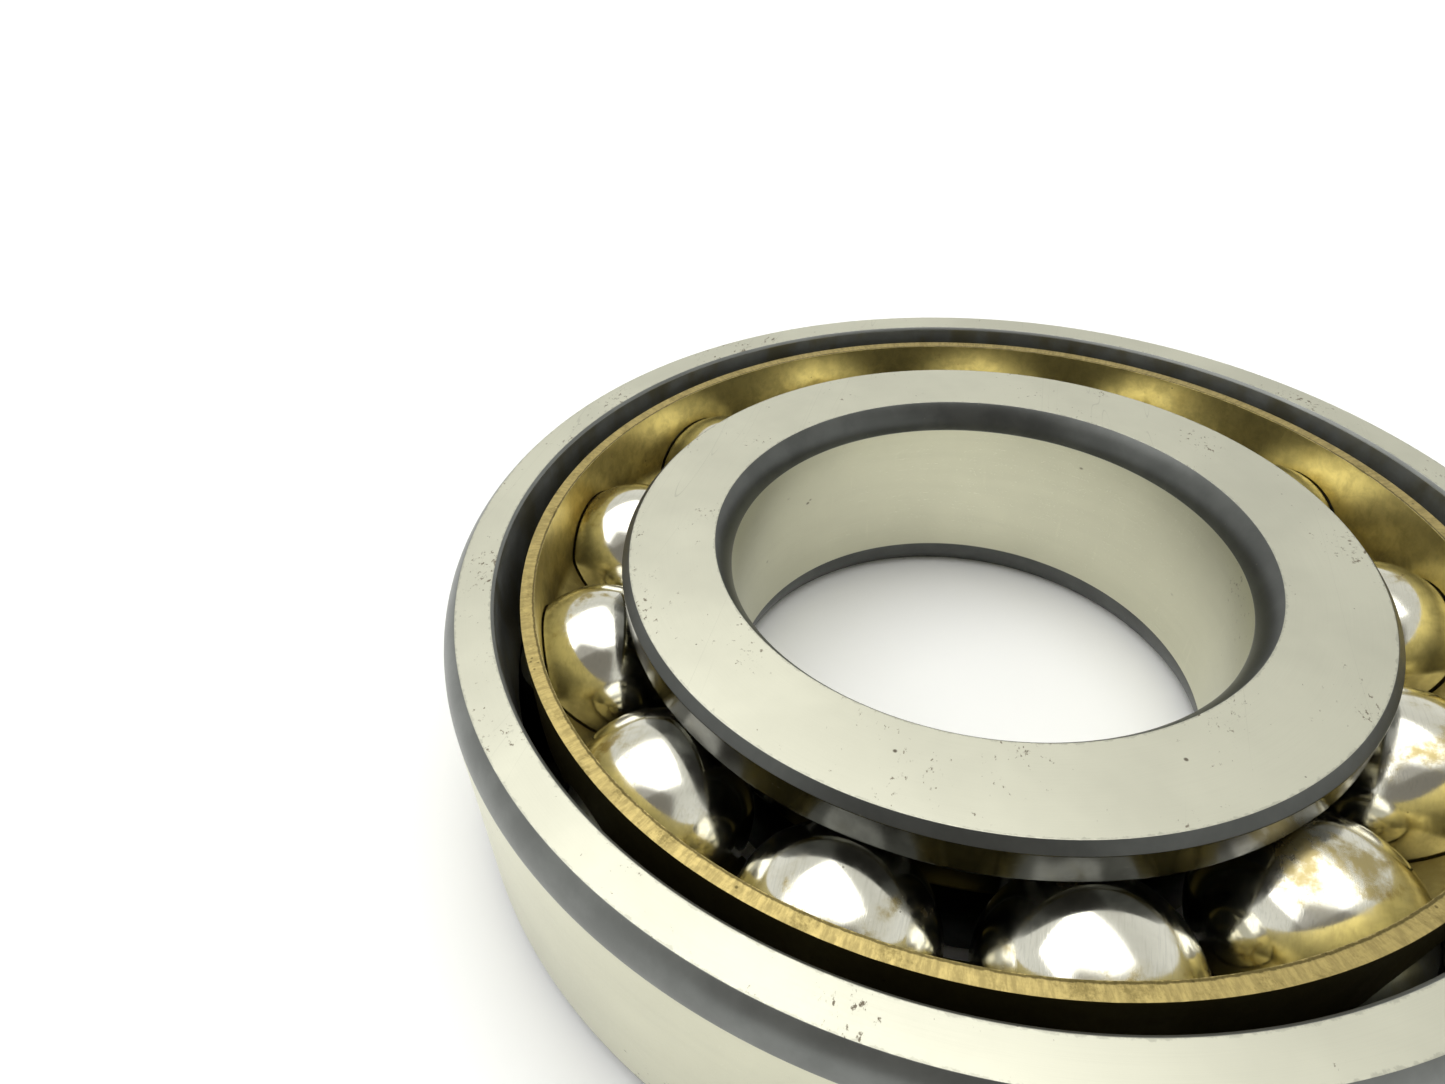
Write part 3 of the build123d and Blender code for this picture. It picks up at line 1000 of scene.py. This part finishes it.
class BEARING_OT_inner_ring(bpy.types.Operator):
    """Builds the inner ring with its high shoulder on the open face"""

    bl_idname = "bearing.inner_ring"
    bl_label = "Inner ring"

    def execute(self, context):
        at = Layout()
        finish_ring("inner_ring", inner_ring_runs(at), at.face_inner, 0.95)
        return {"FINISHED"}


class BEARING_OT_outer_ring(bpy.types.Operator):
    """Builds the outer ring, bored out on the open face"""

    bl_idname = "bearing.outer_ring"
    bl_label = "Outer ring"

    def execute(self, context):
        at = Layout()
        finish_ring("outer_ring", outer_ring_runs(at), at.face_outer, 1.6)
        return {"FINISHED"}


class BEARING_OT_cage(bpy.types.Operator):
    """Builds the pressed brass cage with a window for each ball"""

    bl_idname = "bearing.cage"
    bl_label = "Cage"

    def execute(self, context):
        at = Layout()
        bm = build_cage_mesh(at)
        shadow_line_radius = at.cage_large - sizes().sheet / 2 + SHADOW_LINE_INSET
        finishes = [brass_finish("cage_sheet", at.cage_large), cut_brass_finish("cage_cut", shadow_line_radius)]
        piece = smooth_object("cage_brass", bm, finishes, soft_angle=radians(45))
        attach(piece, "cage")
        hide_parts("cage")
        return {"FINISHED"}


class BEARING_OT_balls(bpy.types.Operator):
    """Builds the row of lapped steel balls"""

    bl_idname = "bearing.balls"
    bl_label = "Balls"

    def execute(self, context):
        at = Layout()
        finish = ball_finish("ball_steel")
        for joint in BALL_JOINTS:
            bm = bmesh.new()
            bmesh.ops.create_icosphere(bm, subdivisions=6, radius=at.ball)
            bmesh.ops.translate(bm, verts=bm.verts, vec=joint["pos_m"])
            piece = smooth_object(f"{joint['child']}_steel", bm, [finish], soft_angle=pi)
            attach(piece, joint["child"])
            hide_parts(joint["child"])
        return {"FINISHED"}


class BEARING_PT_panel(bpy.types.Panel):
    """Lists the bearing's sizes, colours and build steps"""

    bl_idname = "BEARING_PT_panel"
    bl_label = "Bearing"
    bl_space_type = "VIEW_3D"
    bl_region_type = "UI"
    bl_category = "Bearing"

    def draw(self, context):
        for step in STEPS:
            self.layout.operator(step.bl_idname, text=step.bl_label)
        for group in (context.scene.bearing_sizes, context.scene.bearing_colours):
            box = self.layout.box()
            for name in group.__annotations__:
                box.prop(group, name)


STEPS = (
    BEARING_OT_camera, BEARING_OT_stage, BEARING_OT_outer_ring, BEARING_OT_inner_ring,
    BEARING_OT_cage, BEARING_OT_balls,
)
CLASSES = (BEARING_PG_sizes, BEARING_PG_colours, *STEPS, BEARING_PT_panel)


def register():
    for cls in CLASSES:
        bpy.utils.register_class(cls)
    bpy.types.Scene.bearing_sizes = bpy.props.PointerProperty(type=BEARING_PG_sizes)
    bpy.types.Scene.bearing_colours = bpy.props.PointerProperty(type=BEARING_PG_colours)


def unregister():
    del bpy.types.Scene.bearing_colours
    del bpy.types.Scene.bearing_sizes
    for cls in reversed(CLASSES):
        bpy.utils.unregister_class(cls)


def main():
    register()
    bpy.ops.bearing.camera()
    bpy.ops.bearing.stage()
    bpy.ops.bearing.outer_ring()
    bpy.ops.bearing.inner_ring()
    bpy.ops.bearing.cage()
    bpy.ops.bearing.balls()
    bpy.context.view_layer.update()


if __name__ == "__main__":
    main()
